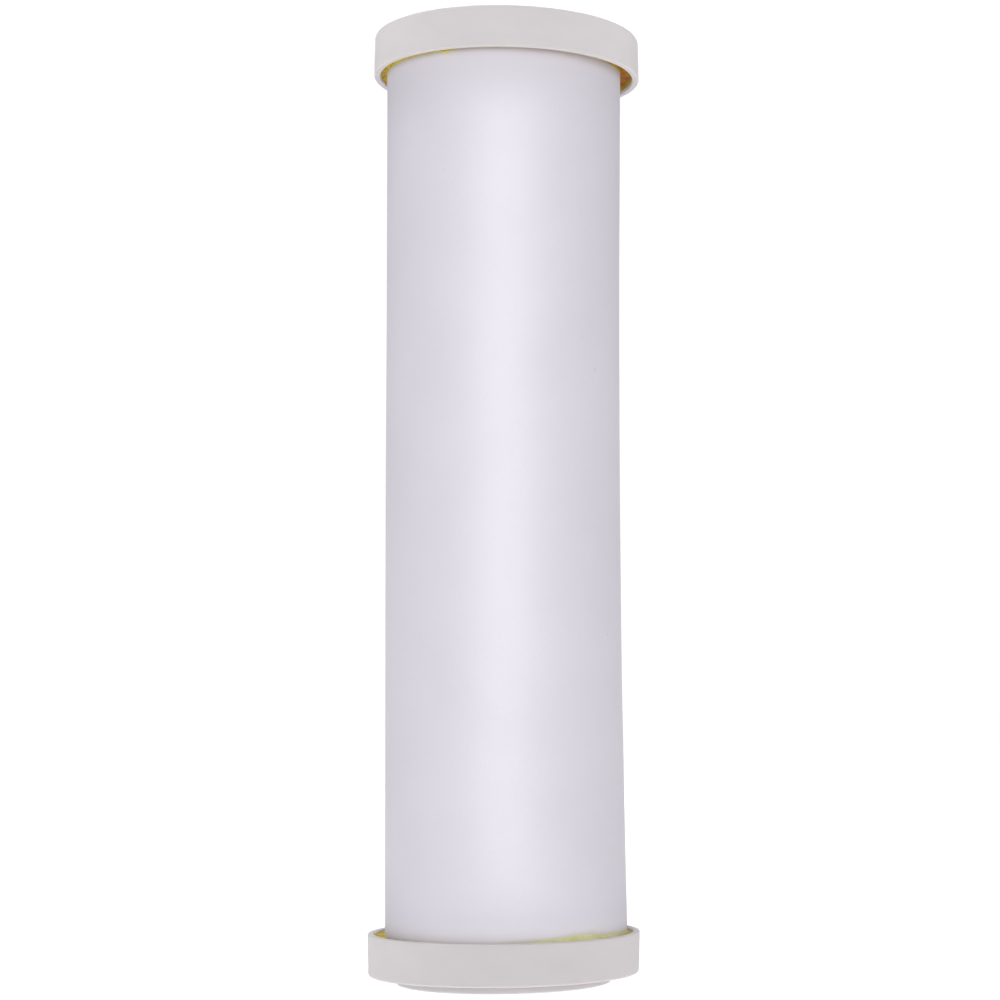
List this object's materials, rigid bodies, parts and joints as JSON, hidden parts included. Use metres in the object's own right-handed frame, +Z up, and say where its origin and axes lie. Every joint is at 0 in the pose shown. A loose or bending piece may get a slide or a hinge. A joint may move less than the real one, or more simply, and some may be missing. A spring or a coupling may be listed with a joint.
{
  "type": "ceramic water filter cartridge",
  "caption": "Upright ceramic tube filter cartridge with a moulded cap glued on each end; the lower cap has a standing boss and an outlet socket.",
  "frame": {"origin": "centre of the lower cap's standing face, at the lowest point of the part", "axes": "+Z up along the cartridge's axis, towards the closed cap; +X through one of the ribs in the boss; the outside is round, so X and Y are otherwise free"},
  "size_m": [0.048, 0.048, 0.17],
  "materials": {
    "ceramic": "unglazed, fine-grained, porous, matt",
    "cap_plastic": "moulded off-white plastic, satin",
    "potting": "cured amber adhesive, uneven, glossy where clean",
    "carbon": "plastic-bound carbon powder, pitted, dead matt",
    "fleece": "white non-woven fleece",
    "core_plastic": "natural white moulded plastic",
    "hot_melt": "cured hot-melt adhesive, translucent cream",
    "foam": "open-cell foam, grey-blue",
    "seal_rubber": "black moulded rubber, faint parting line",
    "screen_steel": "fine stainless mesh in a pressed rim"
  },
  "bodies": {
    "root": {"ceramic_sleeve": "ceramic", "upper_end_cap": "cap_plastic", "lower_end_cap": "cap_plastic", "upper_potting": "potting", "lower_potting": "potting", "carbon_core": "carbon", "core_fleece": "fleece", "collector_tube": "core_plastic", "upper_core_plate": "core_plastic", "lower_core_plate": "core_plastic", "upper_core_glue": "hot_melt", "lower_core_glue": "hot_melt", "core_cushion": "foam", "spigot_oring": "seal_rubber", "socket_oring": "seal_rubber", "outlet_screen": "screen_steel"}
  },
  "joints": []
}
